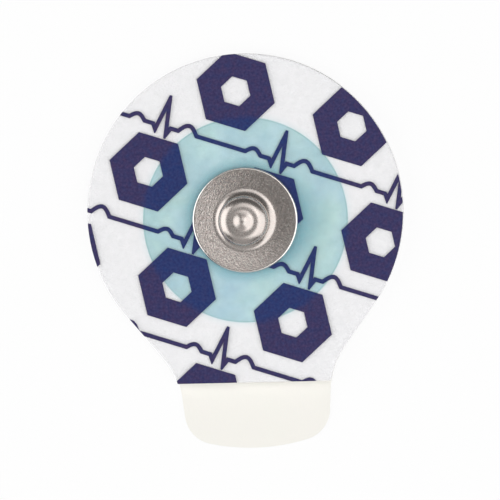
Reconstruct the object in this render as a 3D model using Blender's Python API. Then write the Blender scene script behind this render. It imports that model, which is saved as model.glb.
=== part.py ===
"""A snap electrode for heart monitoring: foam pad, gel disc, sensor eyelet, metal stud and pull tab.

Metres, +Z up.  The origin is on the stud's axis at the skin side, and +Y points away from the tab.
"""
import math

import bmesh
import bpy

MM = 0.001

# Outline of the pad, which the foam, the film and the tab share
pad_radius = 12.0 * MM
stud_offset = 0.6 * MM
overall_length = 30.0 * MM
flank_angle = math.radians(38.0)
neck_fillet_radius = 6.0 * MM
foam_edge_distance = 12.95 * MM
foam_edge_skew = math.radians(-1.7)
tab_width = 11.5 * MM
tab_taper = math.radians(5.0)
tab_corner_radius = 2.4 * MM
tab_end_radius = 15.0 * MM

# Layers, from the skin upwards
foam_thickness = 1.0 * MM
film_thickness = 0.10 * MM
ink_thickness = 0.03 * MM
tab_thickness = 0.15 * MM
tab_overlap = 2.5 * MM
glue_line = 0.02 * MM
lay_gap = 0.01 * MM

# Gel disc in the foam's hole
gel_radius = 7.6 * MM
gel_clearance = 0.25 * MM
gel_edge_round = 0.12 * MM

# Sensor eyelet under the film, with its post up into the stud
eyelet_flange_radius = 4.5 * MM
eyelet_flange_thickness = 0.35 * MM
eyelet_edge_round = 0.10 * MM
eyelet_clearance = 0.05 * MM
post_hole_clearance = 0.10 * MM

# Pressed metal stud
stud_flange_radius = 4.0 * MM
stud_sheet = 0.28 * MM
stud_head_radius = 1.91 * MM
stud_neck_radius = 1.72 * MM
stud_height = 2.62 * MM
stud_neck_height = 1.05 * MM
stud_foot_radius = 2.42 * MM
stud_foot_height = 0.60 * MM
stud_foot_hollow = 0.75 * MM
stud_land_radius = 1.02 * MM
stud_pip_radius = 0.92 * MM
stud_pip_height = 0.20 * MM
stud_cavity_round = 0.52 * MM

# Printed pattern: rows of hexagon rings with a pulse trace between the rows
print_tilt = math.radians(-20.0)
print_shift = (1.5 * MM, 0.9 * MM)
hexagon_radius = 3.1 * MM
hexagon_stroke = 1.68 * MM
hexagon_spacing = 3.0 * MM
trace_band = 2.4 * MM
trace_lift = 0.95 * MM
trace_width = 0.32 * MM
trace_blunting = 2.0
spike_height = 2.1 * MM
spike_width = 0.9 * MM
spike_start = -0.72 * MM
spike_end = 0.68 * MM
spike_dip_before = 0.18
spike_dip_after = 0.27
first_wave_place = -2.0 * MM
first_wave_width = 1.2 * MM
first_wave_height = 0.40 * MM
last_wave_place = 2.0 * MM
last_wave_width = 1.45 * MM
last_wave_height = 0.60 * MM
wave_steps = 8
print_rows = 2
print_columns = 2
smallest_print_area = 0.6 * MM * MM

# Fineness of round stretches
wide_arc_step = math.radians(3.0)
small_arc_step = math.radians(9.0)
profile_arc_step = math.radians(30.0)
pip_steps = 7
flare_steps = 6
pad_sides = 80
stud_sides = 60
eyelet_sides = 40
weld_distance = 0.0001 * MM

# Places that follow from the sizes above
pad_centre = (0.0, stud_offset)
foam_edge_y = stud_offset - foam_edge_distance
tab_end_y = stud_offset + pad_radius - overall_length
film_bottom = foam_thickness + glue_line
film_top = film_bottom + film_thickness
ink_bottom = film_top + lay_gap
ink_top = ink_bottom + ink_thickness
stud_bottom = ink_top + lay_gap
stud_bore_radius = stud_neck_radius - stud_sheet
stud_cavity_radius = stud_head_radius - stud_sheet
post_radius = stud_bore_radius - eyelet_clearance
hexagon_height = 2.0 * hexagon_radius * math.cos(math.pi / 6.0)
hexagon_hole_radius = hexagon_radius - hexagon_stroke / math.cos(math.pi / 6.0)
column_pitch = 2.0 * hexagon_radius + hexagon_spacing
row_pitch = hexagon_height + trace_band


def clear_scene():
    """Start from an empty scene."""
    for thing in list(bpy.data.objects):
        bpy.data.objects.remove(thing, do_unlink=True)


def material(name, colour, roughness, metallic=0.0, alpha=1.0):
    """A Principled material of one plain colour."""
    made = bpy.data.materials.new(name)
    made.use_nodes = True
    made.diffuse_color = (*colour, alpha)
    shader = made.node_tree.nodes["Principled BSDF"]
    shader.inputs["Base Color"].default_value = (*colour, 1.0)
    shader.inputs["Roughness"].default_value = roughness
    shader.inputs["Metallic"].default_value = metallic
    shader.inputs["Alpha"].default_value = alpha
    return made


def finish(name, mesh, finish_material, smooth_angle=math.radians(30.0)):
    """Close a bmesh into a named object with its faces outward."""
    bmesh.ops.remove_doubles(mesh, verts=mesh.verts, dist=weld_distance)
    bmesh.ops.recalc_face_normals(mesh, faces=mesh.faces)
    data = bpy.data.meshes.new(name)
    mesh.to_mesh(data)
    mesh.free()
    data.shade_smooth()
    data.set_sharp_from_angle(angle=smooth_angle)
    data.materials.append(finish_material)
    made = bpy.data.objects.new(name, data)
    bpy.context.scene.collection.objects.link(made)
    return made


def arc(centre, radius, start, end, step):
    """Points along a round stretch, with both of its ends."""
    count = max(1, math.ceil(abs(end - start) / step))
    angles = [start + (end - start) * i / count for i in range(count + 1)]
    return [(centre[0] + radius * math.cos(a), centre[1] + radius * math.sin(a)) for a in angles]


def along(point, direction, distance):
    """The point a distance away in a direction."""
    return (point[0] + direction[0] * distance, point[1] + direction[1] * distance)


def dot(a, b):
    """Scalar product of two plane vectors."""
    return a[0] * b[0] + a[1] * b[1]


def crossing(point, direction, other_point, other_direction):
    """Where two lines meet."""
    gap = (other_point[0] - point[0], other_point[1] - point[1])
    across = direction[0] * other_direction[1] - direction[1] * other_direction[0]
    share = (gap[0] * other_direction[1] - gap[1] * other_direction[0]) / across
    return along(point, direction, share)


def silhouette():
    """Outline of the whole electrode, anticlockwise: round pad, flanks, necks and rounded tab."""
    flank_out = (math.cos(flank_angle), -math.sin(flank_angle))
    flank_down = (-math.sin(flank_angle), -math.cos(flank_angle))
    side_out = (math.cos(tab_taper), -math.sin(tab_taper))
    side_down = (-math.sin(tab_taper), -math.cos(tab_taper))
    flank_start = along(pad_centre, flank_out, pad_radius)
    side_start = (tab_width / 2.0, foam_edge_y)
    neck_centre = crossing(
        along(flank_start, flank_out, neck_fillet_radius),
        flank_down,
        along(side_start, side_out, neck_fillet_radius),
        side_down,
    )
    end_centre = (0.0, tab_end_y + tab_end_radius)
    inset = along(side_start, side_out, -tab_corner_radius)
    from_end = (inset[0] - end_centre[0], inset[1] - end_centre[1])
    lean = dot(from_end, side_down)
    reach = tab_end_radius - tab_corner_radius
    travel = -lean + math.sqrt(lean * lean - dot(from_end, from_end) + reach * reach)
    corner = along(inset, side_down, travel)
    corner_angle = math.atan2(corner[1] - end_centre[1], corner[0] - end_centre[0])
    right = arc(end_centre, tab_end_radius, -math.pi / 2.0, corner_angle, wide_arc_step)[:-1]
    right += arc(corner, tab_corner_radius, corner_angle, -tab_taper, small_arc_step)
    right += arc(neck_centre, neck_fillet_radius, math.pi - tab_taper, math.pi - flank_angle, wide_arc_step)
    right += arc(pad_centre, pad_radius, -flank_angle, math.pi / 2.0, wide_arc_step)
    left = [(-x, y) for x, y in reversed(right[1:-1])]
    return right + left


def cut_across(outline, height, keep_above):
    """The part of an outline on one side of a slanting line that crosses the axis at a height."""
    slope = math.tan(foam_edge_skew)
    sign = 1.0 if keep_above else -1.0
    over = [sign * (y - height - slope * x) for x, y in outline]
    kept = []
    for here, (point, value) in enumerate(zip(outline, over)):
        before = outline[here - 1]
        value_before = over[here - 1]
        if (value >= 0.0) != (value_before >= 0.0):
            share = value_before / (value_before - value)
            kept.append(tuple(a + (b - a) * share for a, b in zip(before, point)))
        if value >= 0.0:
            kept.append(point)
    return kept


def circle(radius, sides):
    """A circle about the stud's axis."""
    return arc((0.0, 0.0), radius, 0.0, math.tau, math.tau / sides)[:-1]


def add_plate(mesh, outline, holes, bottom, top):
    """Add a flat plate with holes to a bmesh, from one height to another."""
    edges = []
    for loop in [outline, *holes]:
        ring = [mesh.verts.new((x, y, bottom)) for x, y in loop]
        edges += [mesh.edges.new(pair) for pair in zip(ring, ring[1:] + ring[:1])]
    filled = bmesh.ops.triangle_fill(mesh, edges=edges, use_beauty=True)["geom"]
    faces = [item for item in filled if isinstance(item, bmesh.types.BMFace)]
    raised = bmesh.ops.extrude_face_region(mesh, geom=faces, use_keep_orig=True)["geom"]
    corners = [item for item in raised if isinstance(item, bmesh.types.BMVert)]
    bmesh.ops.translate(mesh, verts=corners, vec=(0.0, 0.0, top - bottom))


def plate(name, outline, holes, bottom, top, finish_material):
    """A flat plate with holes, as an object."""
    mesh = bmesh.new()
    add_plate(mesh, outline, holes, bottom, top)
    return finish(name, mesh, finish_material)


def rounded(corners):
    """A profile through corners (radius, height, rounding), each rounded within its own stretch."""
    points = [corners[0][:2]]
    for before, here, after in zip(corners, corners[1:], corners[2:]):
        spot = here[:2]
        back = (before[0] - spot[0], before[1] - spot[1])
        ahead = (after[0] - spot[0], after[1] - spot[1])
        back_length = math.hypot(*back)
        ahead_length = math.hypot(*ahead)
        back = (back[0] / back_length, back[1] / back_length)
        ahead = (ahead[0] / ahead_length, ahead[1] / ahead_length)
        half = math.acos(max(-1.0, min(1.0, dot(back, ahead)))) / 2.0
        room = min(back_length, ahead_length) / 2.0
        rounding = min(here[2], room * math.tan(half))
        if rounding <= weld_distance or half > math.radians(89.0):
            points.append(spot)
            continue
        middle = (back[0] + ahead[0], back[1] + ahead[1])
        size = math.hypot(*middle)
        centre = along(spot, (middle[0] / size, middle[1] / size), rounding / math.sin(half))
        first = along(spot, back, rounding / math.tan(half))
        last = along(spot, ahead, rounding / math.tan(half))
        start = math.atan2(first[1] - centre[1], first[0] - centre[0])
        end = math.atan2(last[1] - centre[1], last[0] - centre[0])
        turn = (end - start + math.pi) % math.tau - math.pi
        points += arc(centre, rounding, start, start + turn, profile_arc_step)
    points.append(corners[-1][:2])
    return points


def flare(level_end, upright_end):
    """A quarter of an ellipse between its two ends, as profile corners with no rounding."""
    across = upright_end[0] - level_end[0]
    up = upright_end[1] - level_end[1]
    turns = [math.pi / 2.0 * step / flare_steps for step in range(flare_steps + 1)]
    return [(level_end[0] + across * math.sin(t), upright_end[1] - up * math.cos(t), 0.0) for t in turns]


def pip(land):
    """A pip that falls from its top to the land by half a cosine wave, as profile corners."""
    shares = [step / pip_steps for step in range(pip_steps + 1)]
    rises = [stud_pip_height * (0.5 + 0.5 * math.cos(math.pi * share)) for share in shares]
    return [(stud_pip_radius * share, land + rise, 0.0) for share, rise in zip(shares, rises)]


def turned(name, profile, sides, finish_material):
    """A solid turned about the stud's axis from a profile that starts and ends on the axis."""
    mesh = bmesh.new()
    points = [mesh.verts.new((radius, 0.0, height)) for radius, height in profile]
    edges = [mesh.edges.new(pair) for pair in zip(points, points[1:])]
    bmesh.ops.spin(
        mesh,
        geom=points + edges,
        cent=(0.0, 0.0, 0.0),
        axis=(0.0, 0.0, 1.0),
        angle=math.tau,
        steps=sides,
        use_merge=True,
    )
    return finish(name, mesh, finish_material)


def cutter(name, mesh):
    """An object that only cuts others."""
    data = bpy.data.meshes.new(name)
    bmesh.ops.recalc_face_normals(mesh, faces=mesh.faces)
    mesh.to_mesh(data)
    mesh.free()
    made = bpy.data.objects.new(name, data)
    made.hide_render = True
    made.display_type = "WIRE"
    bpy.context.scene.collection.objects.link(made)
    return made


def boolean(target, tool, operation):
    """Cut an object with a tool, or keep only what they share."""
    modifier = target.modifiers.new("cut", "BOOLEAN")
    modifier.object = tool
    modifier.operation = operation
    modifier.solver = "EXACT"


def make_foam_pad(outline, finish_material):
    """Closed-cell foam with the gel's hole and, underneath, a shallow step that takes the tab."""
    hole = circle(gel_radius + gel_clearance, pad_sides)
    shape = cut_across(outline, foam_edge_y, True)
    pad = plate("foam_pad", shape, [hole], 0.0, foam_thickness, finish_material)
    step = bmesh.new()
    margin = pad_radius
    step_end = foam_edge_y + tab_overlap + gel_clearance
    slope = math.tan(foam_edge_skew)
    corners = [
        (-margin, foam_edge_y - margin),
        (margin, foam_edge_y - margin),
        (margin, step_end + slope * margin),
        (-margin, step_end - slope * margin),
    ]
    add_plate(step, corners, [], -margin, tab_thickness + glue_line)
    boolean(pad, cutter("tab_step_cutter", step), "DIFFERENCE")
    return pad


def make_gel_disc(finish_material):
    """Hydrogel that fills the foam's hole, with a shallow seat for the eyelet's flange."""
    seat_radius = eyelet_flange_radius + eyelet_clearance
    seat_height = foam_thickness - eyelet_flange_thickness - glue_line
    corners = [
        (0.0, 0.0, 0.0),
        (gel_radius, 0.0, gel_edge_round),
        (gel_radius, foam_thickness, gel_edge_round),
        (seat_radius, foam_thickness, 0.0),
        (seat_radius, seat_height, 0.0),
        (0.0, seat_height, 0.0),
    ]
    return turned("gel_disc", rounded(corners), pad_sides, finish_material)


def make_sensor_eyelet(finish_material):
    """Coated plastic eyelet: a wide flange in the gel and a post that swells inside the stud."""
    base = foam_thickness - eyelet_flange_thickness
    swell_radius = stud_cavity_radius - eyelet_clearance
    neck_top = stud_bottom + stud_neck_height
    post_top = stud_bottom + stud_height - stud_pip_height - stud_sheet - 2.0 * eyelet_clearance
    corners = [
        (0.0, base, 0.0),
        (eyelet_flange_radius, base, eyelet_edge_round),
        (eyelet_flange_radius, foam_thickness, eyelet_edge_round),
        (post_radius, foam_thickness, 0.0),
        (post_radius, neck_top, stud_sheet),
        (swell_radius, (neck_top + post_top) / 2.0, stud_sheet),
        (swell_radius, post_top, stud_cavity_round),
        (0.0, post_top, 0.0),
    ]
    return turned("sensor_eyelet", rounded(corners), eyelet_sides, finish_material)


def make_printed_film(outline, finish_material):
    """Clear film laid over the foam and the gel, with a hole for the eyelet's post."""
    hole = circle(post_radius + post_hole_clearance, eyelet_sides)
    shape = cut_across(outline, foam_edge_y, True)
    return plate("printed_film", shape, [hole], film_bottom, film_top, finish_material)


def make_pull_tab(outline, finish_material):
    """Thin strip glued under the foam's end, which carries the outline on past the foam."""
    shape = cut_across(outline, foam_edge_y + tab_overlap, False)
    return plate("pull_tab", shape, [], 0.0, tab_thickness, finish_material)


def make_snap_stud(finish_material):
    """Stud pressed from sheet: flat flange, flared foot, neck, bulb, flat land and centre pip."""
    base = stud_bottom
    flange_top = base + stud_sheet
    neck_top = base + stud_neck_height
    land = base + stud_height - stud_pip_height
    cavity_top = land - stud_sheet
    widest = (neck_top + land) / 2.0
    inner_widest = (neck_top + cavity_top) / 2.0
    edge = stud_sheet / 2.0
    shoulder = flare((stud_land_radius, land), (stud_head_radius, widest))
    foot = flare((stud_foot_radius, flange_top), (stud_neck_radius, flange_top + stud_foot_height))
    neck = [
        (stud_head_radius, (neck_top + 2.0 * widest) / 3.0, stud_sheet),
        (stud_neck_radius, neck_top, stud_sheet),
    ]
    flange_and_inside = [
        (stud_flange_radius, flange_top, edge),
        (stud_flange_radius, base, edge),
        (stud_bore_radius, base, stud_foot_hollow),
        (stud_bore_radius, neck_top, stud_sheet),
        (stud_cavity_radius, inner_widest, stud_sheet),
        (stud_cavity_radius, cavity_top, stud_cavity_round),
        (0.0, cavity_top, 0.0),
    ]
    corners = pip(land) + shoulder + neck + foot[::-1] + flange_and_inside
    return turned("snap_stud", rounded(corners), stud_sides, finish_material)


def hexagon(centre, radius):
    """Corners of a hexagon that points left and right."""
    return arc(centre, radius, 0.0, math.tau, math.pi / 3.0)[:-1]


def wave(place, width, height):
    """A half sine wave on the base line, as points (across, up)."""
    shares = [step / wave_steps for step in range(wave_steps + 1)]
    return [(place + width * (share - 0.5), height * math.sin(math.pi * share)) for share in shares]


def beat():
    """Corners of one heartbeat about its peak, as (across, up) with the base line at zero."""
    reach = spike_width / 2.0
    spike = [
        (spike_start, 0.0),
        (-reach, -spike_dip_before * spike_height),
        (0.0, spike_height),
        (reach, -spike_dip_after * spike_height),
        (spike_end, 0.0),
    ]
    first = wave(first_wave_place, first_wave_width, first_wave_height)
    last = wave(last_wave_place, last_wave_width, last_wave_height)
    return first + spike + last


def stroke(path, width):
    """Outline of a line of even width along a path, with blunted points at its sharp turns."""
    half = width / 2.0
    blunt = trace_blunting * half
    left = []
    right = []
    for here, point in enumerate(path):
        before = path[max(here - 1, 0)]
        after = path[min(here + 1, len(path) - 1)]
        inward = (point[0] - before[0], point[1] - before[1]) if here else (1.0, 0.0)
        onward = (after[0] - point[0], after[1] - point[1]) if here < len(path) - 1 else (1.0, 0.0)
        lengths = (math.hypot(*inward), math.hypot(*onward))
        inward = (inward[0] / lengths[0], inward[1] / lengths[0])
        onward = (onward[0] / lengths[1], onward[1] / lengths[1])
        heading = (inward[0] + onward[0], inward[1] + onward[1])
        size = math.hypot(*heading)
        heading = (heading[0] / size, heading[1] / size)
        normal = (-heading[1], heading[0])
        slant = size / 2.0
        reach = half / slant
        turning_left = inward[0] * onward[1] - inward[1] * onward[0] > 0.0
        if reach <= blunt:
            left.append(along(point, normal, reach))
            right.append(along(point, normal, -reach))
            continue
        spread = (reach - blunt) * slant / math.sqrt(1.0 - slant * slant)
        outer_side = -1.0 if turning_left else 1.0
        tip = along(point, normal, outer_side * blunt)
        blunted = [along(tip, heading, -spread), along(tip, heading, spread)]
        inner = [along(point, normal, -outer_side * reach)]
        left += inner if turning_left else blunted
        right += blunted if turning_left else inner
    return left + right[::-1]


def on_pad(points):
    """Turn and shift points from the pattern's own frame to the pad."""
    across, up = math.cos(print_tilt), math.sin(print_tilt)
    return [(across * x - up * y + print_shift[0], up * x + across * y + print_shift[1]) for x, y in points]


def row_start(row):
    """Where a row's middle column stands: every other row is shifted by half a pitch."""
    return column_pitch / 2.0 * (row % 2)


def islands(mesh):
    """The separate pieces of a bmesh, each as a list of faces."""
    waiting = set(mesh.faces)
    pieces = []
    while waiting:
        piece = [waiting.pop()]
        for face in piece:
            joined = {other for edge in face.edges for other in edge.link_faces} & waiting
            waiting -= joined
            piece += list(joined)
        pieces.append(piece)
    return pieces


def own_object(name, piece, finish_material):
    """An object of its own from some of a bmesh's faces."""
    mesh = bmesh.new()
    copies = {}
    for face in piece:
        for vert in face.verts:
            if vert not in copies:
                copies[vert] = mesh.verts.new(vert.co)
        mesh.faces.new([copies[vert] for vert in face.verts])
    return finish(name, mesh, finish_material)


def print_motif(name, outline, holes, window, finish_material):
    """Print one motif: what the film carries of it, with each separate field as its own object."""
    sheet = plate(name + "_whole", outline, holes, ink_bottom, ink_top, finish_material)
    boolean(sheet, window, "INTERSECT")
    carried = bpy.data.meshes.new_from_object(sheet.evaluated_get(bpy.context.evaluated_depsgraph_get()))
    bpy.data.objects.remove(sheet, do_unlink=True)
    cut = bmesh.new()
    cut.from_mesh(carried)
    fields = [field for field in islands(cut) if field_area(field) > smallest_print_area]
    fields.sort(key=field_area, reverse=True)
    for field, ending in zip(fields, ["", "_b", "_c", "_d"]):
        own_object(name + ending, field, finish_material)
    cut.free()


def field_area(field):
    """Area of a thin field of ink, seen from above."""
    return sum(face.calc_area() for face in field) / 2.0


def print_hexagons(window, finish_material):
    """Hexagon rings in rows, each named by its row and its column."""
    farthest = max(pad_radius, foam_edge_distance) + hexagon_radius
    for row in range(-print_rows, print_rows + 1):
        for column in range(-print_columns, print_columns + 1):
            centre = (row_start(row) + column * column_pitch, row * row_pitch)
            if math.dist(on_pad([centre])[0], pad_centre) > farthest:
                continue
            outer = on_pad(hexagon(centre, hexagon_radius))
            inner = on_pad(hexagon(centre, hexagon_hole_radius))
            name = f"print_hexagon_{row + print_rows + 1}_{column + print_columns + 1}"
            print_motif(name, outer, [inner], window, finish_material)


def print_traces(window, finish_material):
    """Pulse traces between the rows, with a peak over each hexagon of the row below."""
    for row in range(-print_rows, print_rows + 1):
        base = row * row_pitch + hexagon_height / 2.0 + trace_lift
        path = []
        for column in range(-print_columns, print_columns + 1):
            peak = row_start(row) + column * column_pitch
            path += [(peak + across, base + up) for across, up in beat()]
        outline = on_pad(stroke(path, trace_width))
        print_motif(f"print_trace_{row + print_rows + 1}", outline, [], window, finish_material)


def print_window(outline):
    """A cutter of the film's own outline, with the hole for the eyelet's post."""
    mesh = bmesh.new()
    opening = circle(post_radius + post_hole_clearance, eyelet_sides)
    add_plate(mesh, cut_across(outline, foam_edge_y, True), [opening], film_bottom, stud_bottom + stud_sheet)
    return cutter("print_window_cutter", mesh)


def main():
    """Build the electrode from the skin upwards."""
    clear_scene()
    foam = material("white_foam", (0.87, 0.87, 0.88), 0.85)
    gel = material("pale_blue_gel", (0.42, 0.62, 0.68), 0.25, alpha=0.9)
    eyelet = material("coated_plastic", (0.30, 0.31, 0.33), 0.5)
    film = material("clear_film", (0.90, 0.90, 0.92), 0.35, alpha=0.25)
    ink = material("navy_ink", (0.055, 0.05, 0.13), 0.5)
    metal = material("satin_metal", (0.46, 0.42, 0.40), 0.32, metallic=1.0)
    tab = material("cream_strip", (0.91, 0.90, 0.84), 0.6)
    outline = silhouette()
    make_foam_pad(outline, foam)
    make_gel_disc(gel)
    make_sensor_eyelet(eyelet)
    make_printed_film(outline, film)
    make_pull_tab(outline, tab)
    make_snap_stud(metal)
    window = print_window(outline)
    print_hexagons(window, ink)
    print_traces(window, ink)


main()
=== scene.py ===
"""A snap electrode for heart monitoring, dressed for a studio picture.

Metres, +Z up.  The stud's axis is the world's axis, the skin side lies at height zero, and +Y
points away from the pull tab.  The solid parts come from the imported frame.  The foam, the gel and
the stud get finer surfaces of their own, and every part gets its finish here.
"""
from __future__ import annotations

import functools
import logging
import math
from dataclasses import dataclass, field
from enum import Enum
from typing import Union

import bpy
import numpy as np
from mathutils import Matrix, Vector


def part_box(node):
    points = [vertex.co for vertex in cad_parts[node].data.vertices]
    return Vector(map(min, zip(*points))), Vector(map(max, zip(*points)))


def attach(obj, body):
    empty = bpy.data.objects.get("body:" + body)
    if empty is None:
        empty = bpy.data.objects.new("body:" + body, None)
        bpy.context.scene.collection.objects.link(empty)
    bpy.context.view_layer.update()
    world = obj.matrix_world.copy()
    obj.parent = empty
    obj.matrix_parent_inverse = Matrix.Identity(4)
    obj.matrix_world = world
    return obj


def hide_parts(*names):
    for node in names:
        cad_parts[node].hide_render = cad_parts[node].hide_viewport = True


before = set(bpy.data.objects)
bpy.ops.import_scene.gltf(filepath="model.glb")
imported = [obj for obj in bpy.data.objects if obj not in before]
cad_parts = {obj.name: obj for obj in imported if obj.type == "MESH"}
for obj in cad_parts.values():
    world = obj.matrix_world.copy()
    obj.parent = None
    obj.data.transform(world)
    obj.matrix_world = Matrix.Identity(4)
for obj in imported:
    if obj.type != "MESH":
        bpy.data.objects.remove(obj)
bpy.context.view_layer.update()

MM = 0.001
BODY = "root"
LEAST_ROUNDING = 0.001 * MM
NEARLY_STRAIGHT = math.radians(89.0)
ZENITH = Vector((0.0, 0.0, 1.0))

# Noise of the shared effects, and the factors that leave a point's height out
NOISE_ROUGHNESS, MARK_DETAIL = 0.6, 2.0
LEVEL = (1.0, 1.0, 0.0)

# Numbers of the Mix node's sockets when it mixes colours
MIX_SHARE, MIX_FIRST, MIX_SECOND, MIX_RESULT = 0, 6, 7, 2

Array = np.ndarray
Piece = bpy.types.Object
Socket = bpy.types.NodeSocket
Sockets = bpy.types.bpy_prop_collection
Feed = Union[float, tuple[float, ...], Socket]
Pair = tuple[float, float]
Triple = tuple[float, float, float]

log = logging.getLogger("electrode")


# Surfaces on grids


def arc_points(centre: Pair, radius: float, start: float, end: float, spacing: float) -> Array:
    """Points along a round stretch: the centre plus the radius times cosine and sine of even angles.

    Args:
        centre: Centre of the arc.
        radius: Radius of the arc.
        start: First angle in radians.
        end: Last angle in radians.
        spacing: Greatest distance between neighbours.

    Returns:
        An array of (count, 2) points, both ends among them.
    """
    count = max(3, math.ceil(abs(end - start) * radius / spacing) + 1)
    angles = np.linspace(start, end, count)
    return np.stack([centre[0] + radius * np.cos(angles), centre[1] + radius * np.sin(angles)], axis=1)


def even_path(path: Array, spacing: float) -> Array:
    """Points at even distances along a path, read off its running length.

    Args:
        path: Points of the path, as (count, 2).
        spacing: Greatest distance between neighbours.

    Returns:
        An array of (new count, 2) points, both ends among them.
    """
    steps = np.linalg.norm(np.diff(path, axis=0), axis=1)
    run = np.concatenate([[0.0], np.cumsum(steps)])
    places = np.linspace(0.0, run[-1], max(2, math.ceil(run[-1] / spacing) + 1))
    return np.stack([np.interp(places, run, path[:, 0]), np.interp(places, run, path[:, 1])], axis=1)


def rounded_profile(corners: list[Triple], spacing: float) -> Array:
    """A profile through corners, each one rounded by the arc that touches both of its sides.

    The arc's centre lies on the corner's middle line at the rounding over the sine of half the
    corner's angle, and the arc touches each side at the rounding over the tangent of it.

    Args:
        corners: Corners as (radius, height, rounding).
        spacing: Greatest distance between neighbours along arcs and straight stretches.

    Returns:
        An array of (count, 2) points of (radius, height).
    """
    spots = np.array([corner[:2] for corner in corners])
    parts = [spots[:1]]
    for number in range(1, len(corners) - 1):
        spot = spots[number]
        back, ahead = spots[number - 1] - spot, spots[number + 1] - spot
        lengths = np.linalg.norm(back), np.linalg.norm(ahead)
        back, ahead = back / lengths[0], ahead / lengths[1]
        half = math.acos(float(np.clip(back @ ahead, -1.0, 1.0))) / 2.0
        rounding = min(corners[number][2], min(lengths) / 2.0 * math.tan(half))
        if rounding < LEAST_ROUNDING or half > NEARLY_STRAIGHT:
            parts.append(spot[None])
            continue
        middle = (back + ahead) / np.linalg.norm(back + ahead)
        centre = spot + middle * rounding / math.sin(half)
        first, last = (spot + side * rounding / math.tan(half) - centre for side in (back, ahead))
        start = math.atan2(first[1], first[0])
        turn = (math.atan2(last[1], last[0]) - start + math.pi) % math.tau - math.pi
        parts.append(arc_points(tuple(centre), rounding, start, start + turn, spacing))
    parts.append(spots[-1:])
    joined = np.concatenate(parts)
    dense = [np.linspace(a, b, max(1, math.ceil(np.linalg.norm(b - a) / spacing)), endpoint=False)
             for a, b in zip(joined, joined[1:])]
    return np.concatenate([*dense, joined[-1:]])


def grid_faces(rows: int, columns: int, closed_rows: bool) -> Array:
    """Corner numbers of the four-sided faces of a grid whose columns run round and close.

    Args:
        rows: Number of rows of points.
        columns: Number of points in each row.
        closed_rows: Whether the last row joins the first.

    Returns:
        An array of (faces, 4) corner numbers.
    """
    row = np.arange(rows if closed_rows else rows - 1)[:, None]
    column = np.arange(columns)[None, :]
    over, beside = (row + 1) % rows, (column + 1) % columns
    quads = [row * columns + column, row * columns + beside, over * columns + beside, over * columns + column]
    return np.stack([np.broadcast_to(q, (row.size, columns)) for q in quads], axis=-1).reshape(-1, 4)


@dataclass
class Surface:
    """Corner places as (count, 3), four-sided faces as (count, 4) and three-sided ones as (count, 3)."""

    points: Array
    faces: Array
    caps: Array

    def outwards(self) -> Surface:
        """Turn the faces of a closed surface outwards.

        Each triangle adds the product of its corners, as vectors from the origin, to six times the
        volume inside.  The sum is below zero if the faces point inwards.

        Returns:
            The surface so turned.
        """
        triangles = np.concatenate([self.faces[:, [0, 1, 2]], self.faces[:, [0, 2, 3]], self.caps])
        a, b, c = (self.points[triangles[:, corner]] for corner in range(3))
        turn = -1 if np.einsum("ij,ij->", a, np.cross(b, c)) < 0.0 else 1
        return Surface(self.points, self.faces[:, ::turn], self.caps[:, ::turn])

    def piece(self, name: str) -> Piece:
        """Put the surface into a smooth mesh object at the origin.

        Args:
            name: Name of the piece.

        Returns:
            The new object, linked to the scene.
        """
        data = bpy.data.meshes.new(name)
        data.from_pydata(self.points, [], [*self.faces.tolist(), *self.caps.tolist()])
        data.shade_smooth()
        data.validate()
        made = bpy.data.objects.new(name, data)
        bpy.context.scene.collection.objects.link(made)
        return made


def turned_surface(name: str, profile: Array, sides: int, wave: Array | None = None) -> Piece:
    """A closed surface turned about the stud's axis from a profile with both ends on the axis.

    A point is (radius times cosine, radius times sine, height), over profile points and angles.

    Args:
        name: Name of the piece.
        profile: Points of (radius, height), from the axis round to the axis.
        sides: Number of angles.
        wave: Height to add at each profile point and angle, as (profile points, sides).

    Returns:
        The new object.
    """
    angles = np.linspace(0.0, math.tau, sides, endpoint=False)
    ring = profile[1:-1]
    heights = np.broadcast_to(ring[:, 1:], (len(ring), sides)) + (0.0 if wave is None else wave[1:-1])
    grid = np.stack([ring[:, :1] * np.cos(angles), ring[:, :1] * np.sin(angles), heights], axis=-1)
    poles = np.array([[0.0, 0.0, profile[0, 1]], [0.0, 0.0, profile[-1, 1]]])
    points = np.concatenate([grid.reshape(-1, 3), poles])
    column = np.arange(sides)
    beside = (column + 1) % sides
    last_ring, first_pole = (len(ring) - 1) * sides, len(ring) * sides
    first_cap = np.stack([np.full(sides, first_pole), beside, column], axis=1)
    last_cap = np.stack([np.full(sides, first_pole + 1), last_ring + column, last_ring + beside], axis=1)
    caps = np.concatenate([first_cap, last_cap])
    return Surface(points, grid_faces(len(ring), sides, False), caps).outwards().piece(name)


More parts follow.
